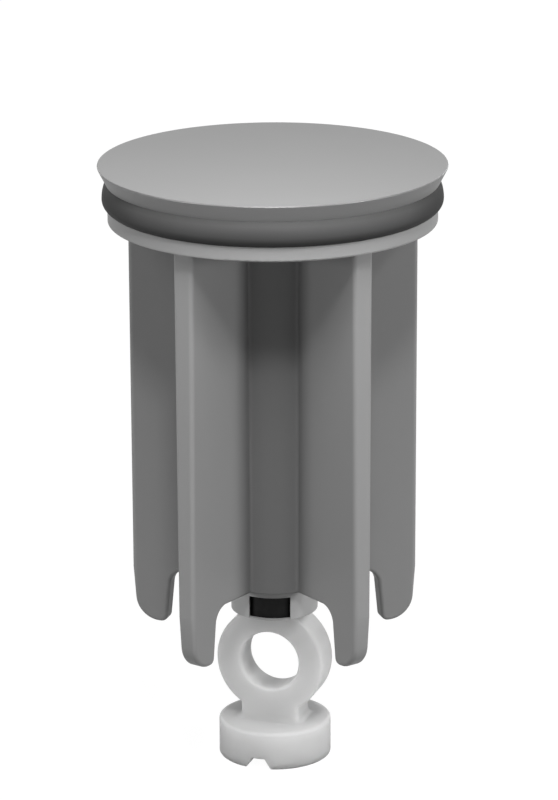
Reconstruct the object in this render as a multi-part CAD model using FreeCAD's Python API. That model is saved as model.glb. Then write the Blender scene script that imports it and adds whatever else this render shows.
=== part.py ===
"""Pop-up basin plug: a satin metal cap, a rubber seal ring, a moulded guide cage with five fins, a threaded
steel insert in the cage's boss, and a moulded screw with an eye for the pop-up rod.

Frame: millimetres, +Z up along the plug's axis. The origin is the centre of the screw head's underside, on
which the plug stands. The hole of the eye runs along Y. Angles are degrees about Z from +X.
"""

import FreeCAD, Part
import math
import os

# Eye screw, from the head's underside upwards
HEAD_RADIUS = 6.55
HEAD_HEIGHT = 4.5
HEAD_TOP_ROUND = 0.4
HEAD_FOOT_ROUND = 0.25
SLOT_MOUTH_WIDTH = 3.1
SLOT_ROOF_WIDTH = 1.6
SLOT_DEPTH = 1.3
NECK_WIDTH = 7.0
NECK_HEIGHT = 0.85
NECK_FOOT_ROUND = 0.8
EYE_HOLE_RADIUS = 3.5
EYE_RIM_WIDTH = 3.0
EYE_THICKNESS = 4.1
EYE_ROUND = 0.35
THREAD_RADIUS = 2.45
THREAD_DEPTH = 0.55
THREAD_LENGTH = 26.0
THREAD_CHAMFER = 0.5
UNDERCUT_LENGTH = 0.4

# Hub, boss and threaded insert
SCREW_SEAT_GAP = 0.1
INSERT_RADIUS = 4.55
INSERT_HEIGHT = 3.0
INSERT_MOUTH = 0.45
THREAD_CLEARANCE = 0.05
BOSS_WALL = 0.5
BOSS_LIP = 0.15
BOSS_ROOF = 0.37
BOSS_CHAMFER = 0.1
BOSS_MOUTH = 0.5
WINDOW_WIDTH = 4.75
WINDOW_LINTEL = 0.4
WINDOW_ANGLE = 281.0
HUB_STEP = 1.05
HUB_DRAFT = 0.5
HUB_FOOT_ROUND = 0.25
BORE_CLEARANCE = 0.25
BORE_END_GAP = 1.5

# Guide fins
FIN_COUNT = 5
FIN_FIRST_ANGLE = 180.0
FIN_INSET = 1.6
FIN_LENGTH = 43.21
FIN_TOP_THICKNESS = 2.6
FIN_TIP_THICKNESS = 2.1
FIN_EDGE_ROUND = 0.45
FIN_ROOT_ROUND = 0.4
LOBE_DROP = 6.56
LOBE_TIP_WIDTH = 3.65
LOBE_OUTER_SLOPE = 0.5
LOBE_INNER_SLOPE = 0.65
LOBE_ARCH_ROUND = 2.0
LOBE_INNER_ROUND = 0.8
LOBE_OUTER_ROUND = 3.0

# Flange, neck, seal and cap
FLANGE_INSET = 0.65
FLANGE_THICKNESS = 1.7
FLANGE_ROUND = 0.2
SEAL_INSET = 0.55
SEAL_HEIGHT = 2.95
SEAL_WIDTH = 3.85
SEAL_TOP_SETBACK = 0.45
SEAL_FOOT_SETBACK = 0.7
SEAL_BELLY_HEIGHT = 1.0
NECK_WALL = 1.9
CAP_RADIUS = 20.0
CAP_THICKNESS = 1.95
CAP_RIM_TAPER = 1.0
CAP_EDGE_ROUND = 0.12
SPIGOT_RADIUS = 3.2
SPIGOT_LENGTH = 10.0
SPIGOT_TIP_GAP = 0.5
BARB_COUNT = 3
BARB_HEIGHT = 0.3
BARB_LENGTH = 1.5
BARB_PITCH = 2.2

# Radii that follow from the sizes above
EYE_RADIUS = EYE_HOLE_RADIUS + EYE_RIM_WIDTH
UNDERCUT_RADIUS = THREAD_RADIUS - THREAD_DEPTH
INSERT_BORE_RADIUS = THREAD_RADIUS + THREAD_CLEARANCE
SHANK_BORE_RADIUS = THREAD_RADIUS + BORE_CLEARANCE
BOSS_MOUTH_RADIUS = SHANK_BORE_RADIUS + BOSS_MOUTH
BOSS_RADIUS = INSERT_RADIUS + BOSS_WALL
HUB_FOOT_RADIUS = BOSS_RADIUS + HUB_STEP
HUB_TOP_RADIUS = HUB_FOOT_RADIUS + HUB_DRAFT
SEAL_RADIUS = CAP_RADIUS - SEAL_INSET
NECK_RADIUS = SEAL_RADIUS - SEAL_WIDTH
FLANGE_RADIUS = SEAL_RADIUS - FLANGE_INSET
FIN_RADIUS = FLANGE_RADIUS - FIN_INSET
LOBE_TIP_OUTER_RADIUS = FIN_RADIUS - LOBE_OUTER_SLOPE
LOBE_TIP_INNER_RADIUS = LOBE_TIP_OUTER_RADIUS - LOBE_TIP_WIDTH
LOBE_INNER_RADIUS = LOBE_TIP_INNER_RADIUS - LOBE_INNER_SLOPE
SOCKET_RADIUS = SPIGOT_RADIUS + BARB_HEIGHT

# Levels that follow. The boss's mouth would touch the corners of the eye's crown at the seat's height.
EYE_CENTRE_HEIGHT = HEAD_HEIGHT + NECK_HEIGHT + EYE_RADIUS
EYE_TOP = EYE_CENTRE_HEIGHT + EYE_RADIUS
THREAD_TOP = EYE_TOP + THREAD_LENGTH
SEAT_HALF_WIDTH = math.sqrt(BOSS_MOUTH_RADIUS**2 - (EYE_THICKNESS / 2)**2)
SEAT_HEIGHT = EYE_CENTRE_HEIGHT + math.sqrt(EYE_RADIUS**2 - SEAT_HALF_WIDTH**2)
BOSS_FOOT = SEAT_HEIGHT + SCREW_SEAT_GAP
INSERT_FOOT = BOSS_FOOT + BOSS_LIP
INSERT_TOP = INSERT_FOOT + INSERT_HEIGHT
HUB_FOOT = INSERT_TOP + BOSS_ROOF
FIN_TIP = HUB_FOOT - LOBE_DROP
FLANGE_FOOT = HUB_FOOT + FIN_LENGTH
FLANGE_MIDDLE = FLANGE_FOOT + FLANGE_THICKNESS / 2
FLANGE_TOP = FLANGE_FOOT + FLANGE_THICKNESS
CAP_FOOT = FLANGE_TOP + SEAL_HEIGHT
CAP_TOP = CAP_FOOT + CAP_THICKNESS
SPIGOT_FOOT = CAP_FOOT - SPIGOT_LENGTH

ORIGIN = FreeCAD.Vector(0, 0, 0)
UP = FreeCAD.Vector(0, 0, 1)
ALONG_Y = FreeCAD.Vector(0, 1, 0)
OVERRUN = 1.0  # how far a cutting tool reaches past the face it enters
TOLERANCE = 1e-6


def rounded_face(corners):
    """A face in the XZ plane. Each corner is (x, z, round), and a round of 0 leaves it sharp."""
    points = [FreeCAD.Vector(x, 0, z) for x, z, _ in corners]
    stretches = []
    for i, point in enumerate(points):
        radius = corners[i][2]
        if radius == 0:
            stretches.append([point])
            continue
        before = (points[i - 1] - point).normalize()
        after = (points[(i + 1) % len(points)] - point).normalize()
        half_angle = before.getAngle(after) / 2
        setback = radius / math.tan(half_angle)
        centre = point + (before + after).normalize() * (radius / math.sin(half_angle))
        middle = centre + (point - centre).normalize() * radius
        stretches.append([point + before * setback, middle, point + after * setback])
    edges = []
    for stretch, following in zip(stretches, stretches[1:] + stretches[:1]):
        if len(stretch) > 1:
            edges.append(Part.Arc(*stretch).toShape())
        edges.append(Part.LineSegment(stretch[-1], following[0]).toShape())
    return Part.Face(Part.Wire(edges))


def turned(corners):
    """The solid that a rounded outline of (radius, z, round) sweeps about the axis."""
    return rounded_face(corners).revolve(ORIGIN, UP, 360)


def disc(radius, foot, top):
    return Part.makeCylinder(radius, top - foot, FreeCAD.Vector(0, 0, foot), UP)


def cone(foot_radius, top_radius, foot, top):
    return Part.makeCone(foot_radius, top_radius, top - foot, FreeCAD.Vector(0, 0, foot), UP)


def middle_of(edge):
    return edge.valueAt((edge.FirstParameter + edge.LastParameter) / 2)


def turned_to(shape, angle):
    """The shape, built along +X, turned about the axis to the given angle."""
    copy = shape.copy()
    copy.rotate(ORIGIN, UP, angle)
    return copy


def make_cap():
    """A turned disc with a sharp upper edge, a rim that tapers inwards, and a barbed spigot below."""
    cap = turned([
        (0, CAP_FOOT, 0),
        (CAP_RADIUS - CAP_RIM_TAPER, CAP_FOOT, 0),
        (CAP_RADIUS, CAP_TOP, CAP_EDGE_ROUND),
        (0, CAP_TOP, 0),
    ])
    cap = cap.fuse(disc(SPIGOT_RADIUS, SPIGOT_FOOT, CAP_FOOT))
    for i in range(BARB_COUNT):
        foot = SPIGOT_FOOT + i * BARB_PITCH
        cap = cap.fuse(cone(SPIGOT_RADIUS, SPIGOT_RADIUS + BARB_HEIGHT, foot, foot + BARB_LENGTH))
    return cap.removeSplitter()


def seal_bulge(end):
    """The arc from the seal's widest line to an end point. It leaves the widest line upright."""
    widest = FreeCAD.Vector(SEAL_RADIUS, 0, FLANGE_TOP + SEAL_BELLY_HEIGHT)
    rise = end.z - widest.z
    run = SEAL_RADIUS - end.x
    radius = (rise**2 + run**2) / (2 * run)
    half_angle = math.asin(rise / radius) / 2
    middle = widest + FreeCAD.Vector(-radius * (1 - math.cos(half_angle)), 0, radius * math.sin(half_angle))
    return Part.Arc(widest, middle, end).toShape()


def make_seal_ring():
    """A rubber ring between the cap and the flange, with a rounded outer face."""
    inner_foot = FreeCAD.Vector(NECK_RADIUS, 0, FLANGE_TOP)
    outer_foot = FreeCAD.Vector(SEAL_RADIUS - SEAL_FOOT_SETBACK, 0, FLANGE_TOP)
    outer_top = FreeCAD.Vector(SEAL_RADIUS - SEAL_TOP_SETBACK, 0, CAP_FOOT)
    inner_top = FreeCAD.Vector(NECK_RADIUS, 0, CAP_FOOT)
    section = Part.Wire([
        Part.LineSegment(inner_foot, outer_foot).toShape(),
        seal_bulge(outer_foot),
        seal_bulge(outer_top),
        Part.LineSegment(outer_top, inner_top).toShape(),
        Part.LineSegment(inner_top, inner_foot).toShape(),
    ])
    return Part.Face(section).revolve(ORIGIN, UP, 360)


def is_fin_rim(edge):
    """True for the edges of a fin's two side faces that stay outside the hub and the flange."""
    middle = middle_of(edge)
    ends = [vertex.Point for vertex in edge.Vertexes]
    on_one_side = all(point.y * middle.y > 0 for point in ends)
    below_the_flange = any(point.z < FLANGE_FOOT for point in ends)
    return on_one_side and below_the_flange and middle.x > 0


def make_fin():
    """One guide fin along +X. It thins towards its tip, and a lobe hangs below the arch beside the hub."""
    outline = rounded_face([
        (0, HUB_FOOT, 0),
        (LOBE_INNER_RADIUS, HUB_FOOT, LOBE_ARCH_ROUND),
        (LOBE_TIP_INNER_RADIUS, FIN_TIP, LOBE_INNER_ROUND),
        (LOBE_TIP_OUTER_RADIUS, FIN_TIP, LOBE_OUTER_ROUND),
        (FIN_RADIUS, HUB_FOOT, 0),
        (FIN_RADIUS, FLANGE_MIDDLE, 0),
        (0, FLANGE_MIDDLE, 0),
    ])
    outline.translate(-ALONG_Y * FIN_TOP_THICKNESS)
    plate = outline.extrude(ALONG_Y * 2 * FIN_TOP_THICKNESS)
    taper_corners = [
        (-FIN_TIP_THICKNESS / 2, FIN_TIP),
        (FIN_TIP_THICKNESS / 2, FIN_TIP),
        (FIN_TOP_THICKNESS / 2, FLANGE_MIDDLE),
        (-FIN_TOP_THICKNESS / 2, FLANGE_MIDDLE),
    ]
    taper_points = [FreeCAD.Vector(-OVERRUN, y, z) for y, z in taper_corners]
    taper_face = Part.Face(Part.makePolygon(taper_points + taper_points[:1]))
    taper = taper_face.extrude(FreeCAD.Vector(FIN_RADIUS + 2 * OVERRUN, 0, 0))
    fin = plate.common(taper)
    return fin.makeFillet(FIN_EDGE_ROUND, [edge for edge in fin.Edges if is_fin_rim(edge)])


def is_fin_root(edge):
    """True for the corners between the fins and the hub, and between both and the flange's underside."""
    middle = middle_of(edge)
    radius = math.hypot(middle.x, middle.y)
    beside_the_hub = HUB_FOOT_RADIUS - HUB_STEP < radius < HUB_TOP_RADIUS
    on_a_seam = abs(middle.y) < TOLERANCE
    upright = edge.BoundBox.ZLength > FIN_LENGTH / 2 and beside_the_hub and not on_a_seam
    under_the_flange = abs(middle.z - FLANGE_FOOT) < TOLERANCE and radius < FIN_RADIUS + TOLERANCE
    return upright or under_the_flange


def make_guide_cage():
    """The moulded cage: neck, flange, hub and boss in one, with the fins around them."""
    cage = turned([
        (0, BOSS_FOOT, 0),
        (BOSS_RADIUS, BOSS_FOOT, BOSS_CHAMFER),
        (BOSS_RADIUS, HUB_FOOT, 0),
        (HUB_FOOT_RADIUS, HUB_FOOT, HUB_FOOT_ROUND),
        (HUB_TOP_RADIUS, FLANGE_FOOT, 0),
        (FLANGE_RADIUS, FLANGE_FOOT, FLANGE_ROUND),
        (FLANGE_RADIUS, FLANGE_TOP, 0),
        (NECK_RADIUS, FLANGE_TOP, 0),
        (NECK_RADIUS, CAP_FOOT, 0),
        (NECK_RADIUS - NECK_WALL, CAP_FOOT, 0),
        (NECK_RADIUS - NECK_WALL, FLANGE_TOP, 0),
        (HUB_TOP_RADIUS, FLANGE_TOP, 0),
        (HUB_TOP_RADIUS, CAP_FOOT, 0),
        (0, CAP_FOOT, 0),
    ])
    fin = make_fin()
    for i in range(FIN_COUNT):
        cage = cage.fuse(turned_to(fin, FIN_FIRST_ANGLE + 360 / FIN_COUNT * i))
    cage = cage.makeFillet(FIN_ROOT_ROUND, [edge for edge in cage.Edges if is_fin_root(edge)])
    cage = cage.cut(disc(SOCKET_RADIUS, SPIGOT_FOOT - SPIGOT_TIP_GAP, CAP_FOOT + OVERRUN))
    cage = cage.cut(disc(SHANK_BORE_RADIUS, BOSS_FOOT - OVERRUN, THREAD_TOP + BORE_END_GAP))
    cage = cage.cut(cone(BOSS_MOUTH_RADIUS, SHANK_BORE_RADIUS, BOSS_FOOT, BOSS_FOOT + BOSS_MOUTH))
    cage = cage.cut(disc(INSERT_RADIUS, INSERT_FOOT, INSERT_TOP))
    window = Part.makeBox(BOSS_RADIUS + OVERRUN, WINDOW_WIDTH, INSERT_HEIGHT - WINDOW_LINTEL)
    window.translate(FreeCAD.Vector(0, -WINDOW_WIDTH / 2, INSERT_FOOT))
    cage = cage.cut(turned_to(window, WINDOW_ANGLE))
    return cage.removeSplitter()


def make_thread_insert():
    """The round steel insert in the boss, bored to the screw's thread and countersunk at both ends."""
    mouth_radius = INSERT_BORE_RADIUS + INSERT_MOUTH
    return turned([
        (INSERT_RADIUS, INSERT_FOOT, 0),
        (INSERT_RADIUS, INSERT_TOP, 0),
        (mouth_radius, INSERT_TOP, 0),
        (INSERT_BORE_RADIUS, INSERT_TOP - INSERT_MOUTH, 0),
        (INSERT_BORE_RADIUS, INSERT_FOOT + INSERT_MOUTH, 0),
        (mouth_radius, INSERT_FOOT, 0),
    ])


def is_eye_rim(edge):
    """True for the edges of the ring's two faces, hole included, that stay clear of the head."""
    points = [vertex.Point for vertex in edge.Vertexes] + [middle_of(edge)]
    on_a_face = all(abs(abs(point.y) - EYE_THICKNESS / 2) < TOLERANCE for point in points)
    off_the_head = any(point.z > HEAD_HEIGHT + TOLERANCE for point in points)
    return on_a_face and off_the_head


def make_eye():
    """The upright ring with its hole along Y, and the neck that joins it to the head."""
    near_face = FreeCAD.Vector(0, -EYE_THICKNESS / 2, EYE_CENTRE_HEIGHT)
    eye = Part.makeCylinder(EYE_RADIUS, EYE_THICKNESS, near_face, ALONG_Y)
    neck_corner = FreeCAD.Vector(-NECK_WIDTH / 2, -EYE_THICKNESS / 2, HEAD_HEIGHT)
    neck_height = EYE_CENTRE_HEIGHT - EYE_HOLE_RADIUS - HEAD_HEIGHT
    eye = eye.fuse(Part.makeBox(NECK_WIDTH, EYE_THICKNESS, neck_height, neck_corner)).removeSplitter()
    hole_start = near_face - ALONG_Y * OVERRUN
    eye = eye.cut(Part.makeCylinder(EYE_HOLE_RADIUS, EYE_THICKNESS + 2 * OVERRUN, hole_start, ALONG_Y))
    return eye.makeFillet(EYE_ROUND, [edge for edge in eye.Edges if is_eye_rim(edge)])


def is_neck_foot(edge):
    """True for the corner round the neck where it meets the head's top."""
    points = [vertex.Point for vertex in edge.Vertexes] + [middle_of(edge)]
    on_the_head = all(abs(point.z - HEAD_HEIGHT) < TOLERANCE for point in points)
    return on_the_head and all(abs(point.y) < EYE_THICKNESS / 2 + TOLERANCE for point in points)


def make_driver_slot():
    """The cutter for the screwdriver slot: a channel along Y that widens towards the head's underside."""
    corners = [
        (-SLOT_MOUTH_WIDTH / 2, 0),
        (SLOT_MOUTH_WIDTH / 2, 0),
        (SLOT_ROOF_WIDTH / 2, SLOT_DEPTH),
        (-SLOT_ROOF_WIDTH / 2, SLOT_DEPTH),
    ]
    points = [FreeCAD.Vector(x, -HEAD_RADIUS - OVERRUN, z) for x, z in corners]
    section = Part.Face(Part.makePolygon(points + points[:1]))
    return section.extrude(ALONG_Y * 2 * (HEAD_RADIUS + OVERRUN))


def make_eye_screw():
    """The moulded screw: a slotted head, an upright eye for the rod, and a shank at the thread's size."""
    head = turned([
        (0, 0, 0),
        (HEAD_RADIUS, 0, HEAD_FOOT_ROUND),
        (HEAD_RADIUS, HEAD_HEIGHT, HEAD_TOP_ROUND),
        (0, HEAD_HEIGHT, 0),
    ])
    shank_root = EYE_CENTRE_HEIGHT + (EYE_HOLE_RADIUS + EYE_RADIUS) / 2
    undercut_top = EYE_TOP + UNDERCUT_LENGTH
    shank = turned([
        (0, shank_root, 0),
        (UNDERCUT_RADIUS, shank_root, 0),
        (UNDERCUT_RADIUS, undercut_top, 0),
        (THREAD_RADIUS, undercut_top + THREAD_RADIUS - UNDERCUT_RADIUS, 0),
        (THREAD_RADIUS, THREAD_TOP - THREAD_CHAMFER, 0),
        (THREAD_RADIUS - THREAD_CHAMFER, THREAD_TOP, 0),
        (0, THREAD_TOP, 0),
    ])
    screw = head.fuse([make_eye(), shank]).removeSplitter()
    screw = screw.makeFillet(NECK_FOOT_ROUND, [edge for edge in screw.Edges if is_neck_foot(edge)])
    return screw.cut(make_driver_slot())


os.makedirs("parts", exist_ok=True)
make_cap().exportStep("parts/cap.step")
make_seal_ring().exportStep("parts/seal_ring.step")
make_guide_cage().exportStep("parts/guide_cage.step")
make_thread_insert().exportStep("parts/thread_insert.step")
make_eye_screw().exportStep("parts/eye_screw.step")
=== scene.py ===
# Looks of the basin plug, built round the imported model. Lengths are in metres unless a name says otherwise.
import math

import bmesh
import bpy
from mathutils import Matrix, Vector


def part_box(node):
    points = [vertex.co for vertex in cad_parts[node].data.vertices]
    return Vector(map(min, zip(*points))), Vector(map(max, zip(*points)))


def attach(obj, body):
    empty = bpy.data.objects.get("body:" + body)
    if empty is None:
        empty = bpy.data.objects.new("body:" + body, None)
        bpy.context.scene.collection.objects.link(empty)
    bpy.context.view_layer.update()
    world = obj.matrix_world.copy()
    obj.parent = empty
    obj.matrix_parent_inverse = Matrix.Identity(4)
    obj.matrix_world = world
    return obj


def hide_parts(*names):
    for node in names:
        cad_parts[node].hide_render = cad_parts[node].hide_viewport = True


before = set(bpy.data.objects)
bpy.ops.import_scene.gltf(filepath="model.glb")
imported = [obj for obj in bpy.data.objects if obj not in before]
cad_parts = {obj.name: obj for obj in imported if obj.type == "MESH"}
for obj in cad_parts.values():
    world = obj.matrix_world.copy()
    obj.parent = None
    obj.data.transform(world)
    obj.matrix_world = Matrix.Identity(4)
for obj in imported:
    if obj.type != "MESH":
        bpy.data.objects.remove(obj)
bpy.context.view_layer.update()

MM = 0.001

# Camera, fitted to the ellipses of the cap, the seal, the flange and the screw's head
CAMERA_AZIMUTH = math.radians(18)
CAMERA_DISTANCE = 0.480
CAMERA_HEIGHT = 0.1904
CAMERA_OFFSET = 0.00062
CAMERA_PITCH = 0.2976
CAMERA_ROLL = -0.0040
FOCAL_PIXELS = 4356.6
IMAGE_HEIGHT = 800
SENSOR_HEIGHT_MM = 36.0

# Lamps: azimuth from the camera's direction, elevation, distance from the target, size and power in watts
LAMPS = {
    "key": (3, 50.5, 0.60, 0.08, 1.35),
    "right_mid": (59, 8, 0.70, 0.14, 1.9),
    "left_mid": (-59, 8, 0.70, 0.14, 1.3),
    "right_high": (62, 42, 0.70, 0.10, 1.05),
    "left_high": (-62, 42, 0.70, 0.20, 0.65),
    "right_far": (90, 12, 0.70, 0.40, 0.4),
    "left_far": (-90, 12, 0.70, 0.40, 0.1),
    "right_back": (150, 14, 0.70, 0.30, 0.7),
    "left_back": (-150, 14, 0.70, 0.30, 0.5),
}
LAMP_TARGET = Vector((0, 0, 0.04))
CROWN_LAMP = (0.045, 0.05, 0.03, 0.037)  # towards the camera from the axis, height over the cap, size, power
WORLD_LIGHT = 0.01
BACKGROUND_IN_GLOSS = 0.45

# Screw thread, cut into the CAD shank's own size
SHANK_FOOT = 18.75 * MM
SHANK_TOP = 44.35 * MM
THREAD_RADIUS = 2.45 * MM
THREAD_DEPTH = 0.55 * MM
THREAD_PITCH = 0.8 * MM
THREAD_PROFILE = ((0.0, 0.0), (0.14, 0.0), (0.5, 1.0), (0.62, 1.0))
THREAD_STEPS_ROUND = 72
THREAD_MERGE = 0.001 * MM
SHANK_SLACK = 0.01 * MM
SHARP_EDGE = math.radians(35)

# Shades as linear greys, and roughness, each from its lowest to its highest where it varies
CAP_TOP_SHADES = (0.39, 0.42)
# Painted shade: the cap's rim is darker than its top, on the one metal
CAP_RIM_PAINTED_SHADE = 0.21
CAP_METALLIC = 0.45
CAP_ROUGHNESS = (0.38, 0.44)
SEAL_SHADES = (0.080, 0.092)
# Painted shade on the ring: darker towards its foot, and darker at its ends where it is seen at a glancing
# angle
SEAL_PAINTED_FOOT_SHADE = 0.020
SEAL_PAINTED_END_SHADE = 0.022
SEAL_ROUGHNESS = (0.50, 0.60)
# Painted light and shade on the cage's one plastic: the hub darker as painted shade, the fins' outer edges,
# the flange and the boss lighter as painted light
HUB_PAINTED_SHADE = 0.19
FIN_SHADE = 0.215
FIN_EDGE_PAINTED_LIGHT = 0.275
FLANGE_PAINTED_LIGHT = 0.30
BOSS_PAINTED_LIGHT = 0.38
CAGE_MOTTLE = (0.95, 1.0)
CAGE_ROUGHNESS = (0.36, 0.44)
# The insert is steel with a dark finish; its near-black greys are a painted shadow for the shade inside the
# window
INSERT_PAINTED_SHADOW_GREYS = (0.012, 0.025)
INSERT_ROUGHNESS = (0.35, 0.5)
SCREW_SHADES = (0.53, 0.57)
SCREW_ROUGHNESS = (0.30, 0.36)
SCREW_SCATTER = 8 * MM

# Spans over which a painted light or shade changes to the next: radii, heights, depths below a piece's top,
# shares of glancing
HUB_RADII = (6.6 * MM, 7.6 * MM)
FIN_EDGE_RADII = (16.6 * MM, 17.2 * MM)
BOSS_RADII = (5.4 * MM, 5.8 * MM)
BOSS_HEIGHTS = (21.3 * MM, 21.5 * MM)
FLANGE_HEIGHTS = (64.6 * MM, 64.8 * MM)
CAP_RIM_DEPTHS = (0.012 * MM, 0.002 * MM)
SEAL_TOP_DEPTH = 0.6 * MM
SEAL_GLANCING = (0.38, 0.80)

# Floor: a grey disc that takes the shadow, mixed with a white glow for what the camera sees
FLOOR_RADIUS = 3.0
FLOOR_SEGMENTS = 64
FLOOR_SHADE = 0.5
FLOOR_GLOW = 1.15
FLOOR_GLOW_SHARE = 0.85


def make_camera():
    data = bpy.data.cameras.new("camera")
    data.sensor_fit = "VERTICAL"
    data.sensor_height = SENSOR_HEIGHT_MM
    data.lens = FOCAL_PIXELS / IMAGE_HEIGHT * SENSOR_HEIGHT_MM
    camera = bpy.data.objects.new("camera", data)
    bpy.context.scene.collection.objects.link(camera)
    turn = Matrix.Rotation(CAMERA_AZIMUTH, 4, "Z")
    place = Matrix.Translation((CAMERA_OFFSET, -CAMERA_DISTANCE, CAMERA_HEIGHT))
    tilt = Matrix.Rotation(math.pi / 2 - CAMERA_PITCH, 4, "X")
    roll = Matrix.Rotation(CAMERA_ROLL, 4, "Z")
    camera.matrix_world = turn @ place @ tilt @ roll
    bpy.context.scene.camera = camera


def make_lamp(name, place, target, size, power):
    data = bpy.data.lights.new(name, "AREA")
    data.shape = "DISK"
    data.size = size
    data.energy = power
    lamp = bpy.data.objects.new(name, data)
    bpy.context.scene.collection.objects.link(lamp)
    lamp.location = place
    lamp.rotation_euler = (place - target).to_track_quat("Z", "Y").to_euler()
    lamp.visible_camera = False


def direction(azimuth, elevation):
    """Unit vector towards an azimuth, counted from the camera's own, and an elevation, both in degrees."""
    turn = CAMERA_AZIMUTH + math.radians(azimuth)
    rise = math.radians(elevation)
    return Vector((math.cos(rise) * math.sin(turn), -math.cos(rise) * math.cos(turn), math.sin(rise)))


def make_lamps():
    for name, (azimuth, elevation, distance, size, power) in LAMPS.items():
        make_lamp(name, LAMP_TARGET + direction(azimuth, elevation) * distance, LAMP_TARGET, size, power)
    forward, height, size, power = CROWN_LAMP
    cap_middle = Vector((0, 0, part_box("cap")[1][2]))
    place = cap_middle + direction(0, 0) * forward + Vector((0, 0, height))
    make_lamp("crown", place, cap_middle, size, power)


class Nodes:
    """Builds a node tree. add() makes a node from its type, its settings and its sockets' values or links."""

    def __init__(self, tree):
        self.tree = tree
        tree.nodes.clear()

    def add(self, kind, settings=None, **sockets):
        node = self.tree.nodes.new(kind)
        for key, value in (settings or {}).items():
            setattr(node, key, value)
        for key, value in sockets.items():
            self.plug(node, key.replace("_", " "), value)
        return node

    def plug(self, node, key, value):
        socket = node.inputs[int(key)] if key.isdigit() else node.inputs[key]
        if isinstance(value, bpy.types.NodeSocket):
            self.tree.links.new(value, socket)
        else:
            socket.default_value = value

    def noise(self, scale, detail=3.0, roughness=0.55, vector=None):
        node = self.add("ShaderNodeTexNoise", Scale=scale, Detail=detail, Roughness=roughness)
        self.plug(node, "Vector", vector or self.position())
        return node.outputs["Fac"]

    def position(self):
        return self.add("ShaderNodeTexCoord").outputs["Object"]

    def height(self):
        return self.add("ShaderNodeSeparateXYZ", Vector=self.position()).outputs["Z"]

    def remap(self, value, low, high, start=0.0, end=1.0):
        node = self.add("ShaderNodeMapRange", Value=value)
        for key, number in (("From Min", start), ("From Max", end), ("To Min", low), ("To Max", high)):
            node.inputs[key].default_value = number
        return node.outputs["Result"]

    def tint(self, value, dark, light):
        node = self.add("ShaderNodeMix", {"data_type": "RGBA"})
        self.plug(node, "0", value)
        self.plug(node, "6", dark)
        self.plug(node, "7", light)
        return node.outputs[2]

    def bump(self, height, distance, strength, normal=None):
        node = self.add("ShaderNodeBump", Height=height, Distance=distance, Strength=strength)
        if normal is not None:
            self.plug(node, "Normal", normal)
        return node.outputs["Normal"]

    def soft_edges(self, radius):
        return self.add("ShaderNodeBevel", {"samples": 6}, Radius=radius).outputs["Normal"]

    def combine(self, operation, first, second):
        node = self.add("ShaderNodeMath", {"operation": operation})
        self.plug(node, "0", first)
        self.plug(node, "1", second)
        return node.outputs[0]


def grey(value):
    return (value, value, value, 1.0)


def new_material(name):
    material = bpy.data.materials.new(name)
    material.use_nodes = True
    return material, Nodes(material.node_tree)


def finish_material(nodes, **sockets):
    shader = nodes.add("ShaderNodeBsdfPrincipled", **sockets)
    nodes.add("ShaderNodeOutputMaterial", Surface=shader.outputs["BSDF"])
    return shader


def satin_metal():
    material, nodes = new_material("satin_metal")
    grain = nodes.noise(scale=9000, detail=2.0)
    cloud = nodes.noise(scale=45, detail=3.0)
    cap_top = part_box("cap")[1][2]
    # Painted shade: the rim below the top is darker than the top
    rim, top = (cap_top - depth for depth in CAP_RIM_DEPTHS)
    on_top = nodes.remap(nodes.height(), 0.0, 1.0, rim, top)
    top_shade = nodes.tint(cloud, *map(grey, CAP_TOP_SHADES))
    finish_material(
        nodes,
        Base_Color=nodes.tint(on_top, grey(CAP_RIM_PAINTED_SHADE), top_shade),
        Metallic=CAP_METALLIC,
        Roughness=nodes.remap(cloud, *CAP_ROUGHNESS),
        Normal=nodes.bump(grain, distance=2e-6, strength=0.3, normal=nodes.soft_edges(0.06 * MM)),
    )
    return material


def seal_rubber():
    """Rubber with a faint bloom, and a painted shade that darkens it towards its foot and at its ends, where
    it is seen at a glancing angle.
    """
    material, nodes = new_material("seal_rubber")
    grain = nodes.noise(scale=4000, detail=3.0)
    bloom = nodes.noise(scale=160, detail=4.0)
    foot, top = (corner[2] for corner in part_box("seal_ring"))
    # Painted shade, darker towards the ring's foot
    above_painted_foot_shade = nodes.remap(nodes.height(), 0.0, 1.0, foot, top - SEAL_TOP_DEPTH)
    shade = nodes.tint(above_painted_foot_shade, grey(SEAL_PAINTED_FOOT_SHADE), nodes.tint(bloom, *map(grey, SEAL_SHADES)))
    # Painted shade at the ring's ends, where it is seen at a glancing angle
    glancing = nodes.add("ShaderNodeLayerWeight", Blend=0.5).outputs["Facing"]
    at_the_ends = nodes.remap(glancing, 0.0, 1.0, *SEAL_GLANCING)
    finish_material(
        nodes,
        Base_Color=nodes.tint(at_the_ends, shade, grey(SEAL_PAINTED_END_SHADE)),
        Roughness=nodes.remap(bloom, *SEAL_ROUGHNESS),
        Specular_IOR_Level=0.12,
        Normal=nodes.bump(grain, distance=8e-6, strength=0.35),
    )
    return material


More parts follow.
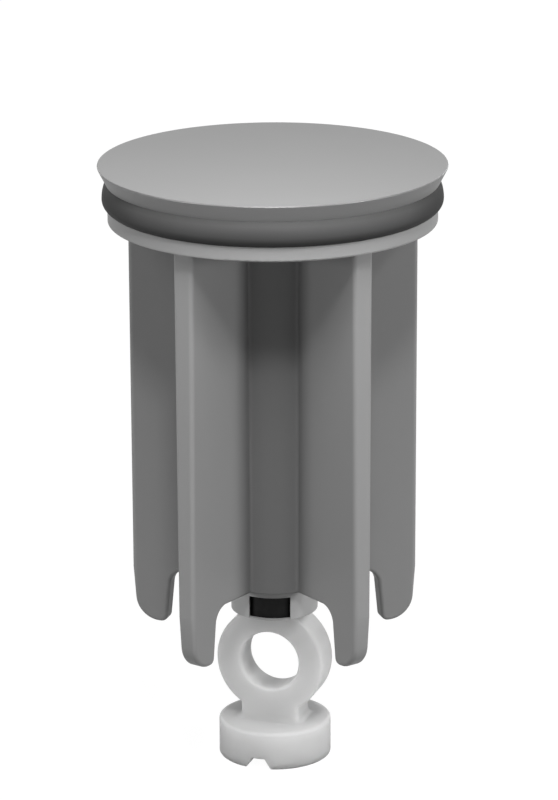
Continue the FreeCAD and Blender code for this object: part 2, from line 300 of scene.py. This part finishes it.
def cage_painted_light_and_shade(nodes):
    """The cage's grey by place, painted light and shade on one plastic: painted shade darkens the hub; the
    fins keep their grey; painted light brightens their outer edges, the flange and above, and the boss.
    """
    axis = nodes.add("ShaderNodeSeparateXYZ", Vector=nodes.position())
    flat = nodes.add("ShaderNodeCombineXYZ", X=axis.outputs["X"], Y=axis.outputs["Y"])
    length = nodes.add("ShaderNodeVectorMath", {"operation": "LENGTH"})
    nodes.plug(length, "0", flat.outputs["Vector"])
    radius = length.outputs["Value"]
    height = axis.outputs["Z"]
    past_hub = nodes.remap(radius, 0.0, 1.0, *HUB_RADII)
    at_fin_edge = nodes.remap(radius, 0.0, 1.0, *FIN_EDGE_RADII)
    fin_shade = nodes.tint(at_fin_edge, grey(FIN_SHADE), grey(FIN_EDGE_PAINTED_LIGHT))
    shade = nodes.tint(past_hub, grey(HUB_PAINTED_SHADE), fin_shade)
    shade = nodes.tint(nodes.remap(height, 0.0, 1.0, *FLANGE_HEIGHTS), shade, grey(FLANGE_PAINTED_LIGHT))
    below_hub = nodes.remap(height, 1.0, 0.0, *BOSS_HEIGHTS)
    within_boss = nodes.remap(radius, 1.0, 0.0, *BOSS_RADII)
    return nodes.tint(nodes.combine("MULTIPLY", below_hub, within_boss), shade, grey(BOSS_PAINTED_LIGHT))


def cage_plastic():
    material, nodes = new_material("cage_plastic")
    grain = nodes.noise(scale=5000, detail=3.0)
    flow = nodes.noise(scale=60, detail=3.0)
    mottle = nodes.add("ShaderNodeMix", {"data_type": "RGBA", "blend_type": "MULTIPLY"})
    nodes.plug(mottle, "0", 1.0)
    nodes.plug(mottle, "6", cage_painted_light_and_shade(nodes))
    nodes.plug(mottle, "7", nodes.tint(flow, *map(grey, CAGE_MOTTLE)))
    finish_material(
        nodes,
        Base_Color=mottle.outputs[2],
        Roughness=nodes.remap(flow, *CAGE_ROUGHNESS),
        Specular_IOR_Level=0.25,
        Normal=nodes.bump(grain, distance=4e-6, strength=0.3, normal=nodes.soft_edges(0.15 * MM)),
    )
    return material


def insert_steel():
    material, nodes = new_material("insert_steel")
    marks = nodes.noise(scale=900, detail=4.0)
    finish_material(
        nodes,
        # Near-black greys: a painted shadow for the shade inside the window
        Base_Color=nodes.tint(marks, *map(grey, INSERT_PAINTED_SHADOW_GREYS)),
        Metallic=1.0,
        Roughness=nodes.remap(marks, *INSERT_ROUGHNESS),
        Normal=nodes.bump(marks, distance=1e-5, strength=0.3),
    )
    return material


def milky_plastic():
    """Translucent white plastic: light scatters inside it, alike for all colours."""
    material, nodes = new_material("milky_plastic")
    grain = nodes.noise(scale=5000, detail=2.0)
    flow = nodes.noise(scale=120, detail=3.0)
    shader = finish_material(
        nodes,
        Base_Color=nodes.tint(flow, *map(grey, SCREW_SHADES)),
        Roughness=nodes.remap(flow, *SCREW_ROUGHNESS),
        Specular_IOR_Level=0.12,
        Normal=nodes.bump(grain, distance=3e-6, strength=0.25, normal=nodes.soft_edges(0.12 * MM)),
    )
    shader.inputs["Subsurface Weight"].default_value = 1.0
    shader.inputs["Subsurface Radius"].default_value = (1.0, 1.0, 1.0)
    shader.inputs["Subsurface Scale"].default_value = SCREW_SCATTER
    return material


def dress(node, material):
    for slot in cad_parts[node].material_slots:
        slot.material = material


def seen_share(nodes):
    """How much of the white background a ray gets: all for the camera, less in a reflection, none as light."""
    path = nodes.add("ShaderNodeLightPath")
    mirrored = nodes.combine("MULTIPLY", path.outputs["Is Glossy Ray"], BACKGROUND_IN_GLOSS)
    seen = nodes.combine("MAXIMUM", path.outputs["Is Camera Ray"], path.outputs["Is Transmission Ray"])
    return nodes.combine("MAXIMUM", seen, mirrored)


def make_world():
    world = bpy.data.worlds.new("world")
    bpy.context.scene.world = world
    world.use_nodes = True
    nodes = Nodes(world.node_tree)
    strength = nodes.remap(seen_share(nodes), WORLD_LIGHT, 1.0)
    background = nodes.add("ShaderNodeBackground", Color=grey(1.0), Strength=strength)
    nodes.add("ShaderNodeOutputWorld", Surface=background.outputs["Background"])


def make_floor():
    material, nodes = new_material("floor")
    lit = nodes.add("ShaderNodeBsdfDiffuse", Color=grey(FLOOR_SHADE))
    glow = nodes.add("ShaderNodeEmission", Color=grey(1.0), Strength=FLOOR_GLOW)
    mixed = nodes.add("ShaderNodeMixShader")
    nodes.plug(mixed, "0", nodes.remap(seen_share(nodes), 0.0, FLOOR_GLOW_SHARE))
    nodes.plug(mixed, "1", lit.outputs["BSDF"])
    nodes.plug(mixed, "2", glow.outputs["Emission"])
    nodes.add("ShaderNodeOutputMaterial", Surface=mixed.outputs["Shader"])
    mesh = bpy.data.meshes.new("floor")
    shape = bmesh.new()
    bmesh.ops.create_circle(shape, cap_ends=True, radius=FLOOR_RADIUS, segments=FLOOR_SEGMENTS)
    shape.to_mesh(mesh)
    shape.free()
    mesh.materials.append(material)
    floor = bpy.data.objects.new("floor", mesh)
    bpy.context.scene.collection.objects.link(floor)


def thread_radius(height, depth_share):
    """Radius of the thread at a height, with its start and its end running out to the thread's root."""
    run_in = (height - SHANK_FOOT) / THREAD_DEPTH
    run_out = (SHANK_TOP - height) / THREAD_DEPTH
    reach = max(0.0, min(1.0, run_in, run_out))
    return THREAD_RADIUS - THREAD_DEPTH * max(depth_share, 1.0 - reach)


def add_thread(shape):
    """Winds the thread's profile up the shank as one helical surface and closes its end."""
    turns = math.ceil((SHANK_TOP - SHANK_FOOT) / THREAD_PITCH) + 1
    rows = []
    for turn in range(-1, turns):
        for start, depth_share in THREAD_PROFILE:
            row = []
            for step in range(THREAD_STEPS_ROUND + 1):
                share = step / THREAD_STEPS_ROUND
                height = SHANK_FOOT + (turn + start + share) * THREAD_PITCH
                height = max(SHANK_FOOT, min(SHANK_TOP, height))
                radius = thread_radius(height, depth_share)
                angle = math.tau * share
                row.append(shape.verts.new((radius * math.cos(angle), radius * math.sin(angle), height)))
            rows.append(row)
    for low, high in zip(rows, rows[1:]):
        for step in range(THREAD_STEPS_ROUND):
            shape.faces.new((low[step], low[step + 1], high[step + 1], high[step]))
    shape.faces.new(rows[-1][:-1])
    new_verts = [vert for row in rows for vert in row]
    bmesh.ops.remove_doubles(shape, verts=new_verts, dist=THREAD_MERGE)


def make_threaded_screw():
    """Stands for the moulded screw: the CAD node's own head and eye, with a real thread on the shank."""
    shape = bmesh.new()
    shape.from_mesh(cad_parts["eye_screw"].data)
    shank = [face for face in shape.faces if min(vert.co.z for vert in face.verts) > SHANK_FOOT - SHANK_SLACK]
    bmesh.ops.delete(shape, geom=shank, context="FACES")
    add_thread(shape)
    mesh = bpy.data.meshes.new("threaded_screw")
    shape.to_mesh(mesh)
    shape.free()
    mesh.shade_smooth()
    mesh.set_sharp_from_angle(angle=SHARP_EDGE)
    screw = bpy.data.objects.new("threaded_screw", mesh)
    bpy.context.scene.collection.objects.link(screw)
    mesh.materials.append(milky_plastic())
    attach(screw, "screw_body")
    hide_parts("eye_screw")


make_camera()
make_world()
make_floor()
make_lamps()
dress("cap", satin_metal())
dress("seal_ring", seal_rubber())
dress("guide_cage", cage_plastic())
dress("thread_insert", insert_steel())
make_threaded_screw()
bpy.context.scene.view_settings.view_transform = "Standard"
